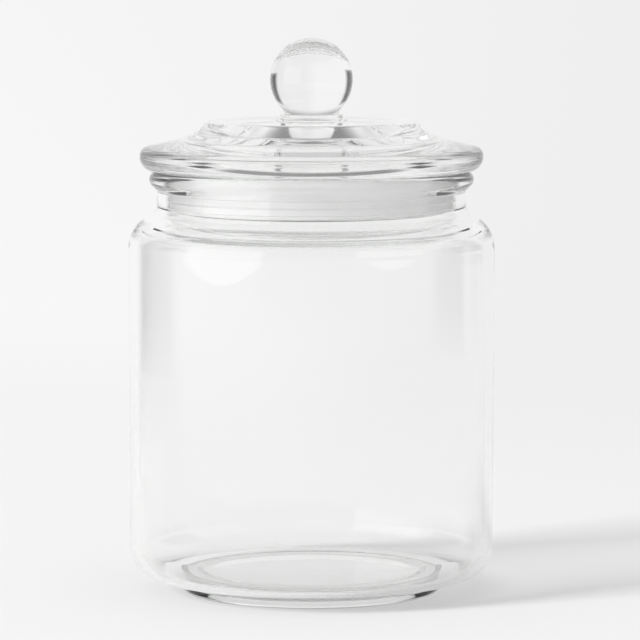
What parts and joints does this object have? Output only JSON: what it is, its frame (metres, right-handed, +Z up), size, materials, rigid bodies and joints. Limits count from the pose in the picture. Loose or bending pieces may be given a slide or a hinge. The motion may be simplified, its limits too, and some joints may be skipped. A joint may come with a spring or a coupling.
{
  "type": "lidded glass canister",
  "caption": "Round clear glass storage canister with a short neck, and a glass lid with a ball knob and a soft sealing ring.",
  "frame": {"origin": "centre of the circle that the foot stands on", "axes": "+Z up along the axis of the jar, the lid and the knob. +X is to the right and +Y is away, seen from the front"},
  "size_m": [0.14, 0.14, 0.212],
  "materials": {
    "jar_glass": "clear colourless soda-lime glass, smooth, with faint waves in the wall",
    "lid_glass": "clear pressed glass, thick, with faint ripples",
    "knob_glass": "clear solid glass, polished",
    "seal_plastic": "soft translucent plastic, satin"
  },
  "bodies": {
    "jar": {"jar": "jar_glass"},
    "seal": {"seal_ring": "seal_plastic"},
    "lid": {"lid": "lid_glass", "knob": "knob_glass"}
  },
  "joints": [
    {"name": "lid_lift", "type": "slide", "parent": "jar", "child": "seal", "axis": [0, 0, 1], "range_m": [0, 0.1]},
    {"name": "lid_turn", "type": "hinge", "parent": "seal", "child": "lid", "pos_m": [0, 0, 0.153], "axis": [0, 0, 1], "continuous": true}
  ]
}
